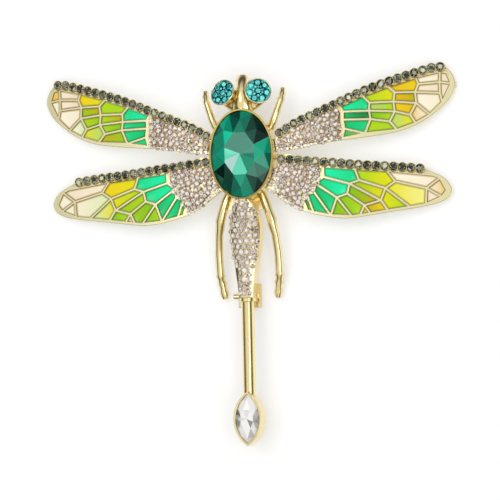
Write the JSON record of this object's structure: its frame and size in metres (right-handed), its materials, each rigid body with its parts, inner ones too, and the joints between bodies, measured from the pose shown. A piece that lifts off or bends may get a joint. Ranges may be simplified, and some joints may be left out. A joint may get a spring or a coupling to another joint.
{
  "type": "insect brooch",
  "caption": "Dragonfly brooch with pierced enamelled wings edged with small stones, an oval thorax stone, stone-set eyes and abdomen, and a slender tail that ends in a pointed stone.",
  "frame": {"origin": "middle of the brooch's plan on the surface it lies on", "axes": "+Z out of the front, +Y towards the head, +X to the right wings seen from the front"},
  "size_m": [0.0678, 0.0603, 0.0074],
  "materials": {
    "gilt_metal": "polished pale gold plating",
    "emerald_glass": "faceted, polished",
    "crystal": "faceted, polished",
    "turquoise_glass": "faceted, polished",
    "pale_stones": "faceted, polished",
    "smoky_stones": "faceted, polished",
    "teal_enamel": "glossy see-through enamel",
    "green_enamel": "glossy see-through enamel",
    "yellow_enamel": "glossy see-through enamel",
    "clear_enamel": "glossy see-through enamel",
    "pin_metal": "polished"
  },
  "bodies": {
    "root": {"body_frame": "gilt_metal", "upper_left_wing": "gilt_metal", "upper_right_wing": "gilt_metal", "lower_left_wing": "gilt_metal", "lower_right_wing": "gilt_metal", "oval_stone": "emerald_glass", "navette_stone": "crystal", "left_eye_stones": "turquoise_glass", "right_eye_stones": "turquoise_glass", "abdomen_stones": "pale_stones", "upper_left_edge_stones": "smoky_stones", "upper_right_edge_stones": "smoky_stones", "lower_left_edge_stones": "smoky_stones", "lower_right_edge_stones": "smoky_stones", "upper_left_teal_enamel": "teal_enamel", "upper_left_green_enamel": "green_enamel", "upper_left_yellow_enamel": "yellow_enamel", "upper_left_clear_enamel": "clear_enamel", "upper_right_teal_enamel": "teal_enamel", "upper_right_green_enamel": "green_enamel", "upper_right_yellow_enamel": "yellow_enamel", "upper_right_clear_enamel": "clear_enamel", "lower_left_teal_enamel": "teal_enamel", "lower_left_green_enamel": "green_enamel", "lower_left_yellow_enamel": "yellow_enamel", "lower_left_clear_enamel": "clear_enamel", "lower_right_teal_enamel": "teal_enamel", "lower_right_green_enamel": "green_enamel", "lower_right_yellow_enamel": "yellow_enamel", "lower_right_clear_enamel": "clear_enamel", "brooch_pin": "pin_metal"}
  },
  "joints": []
}
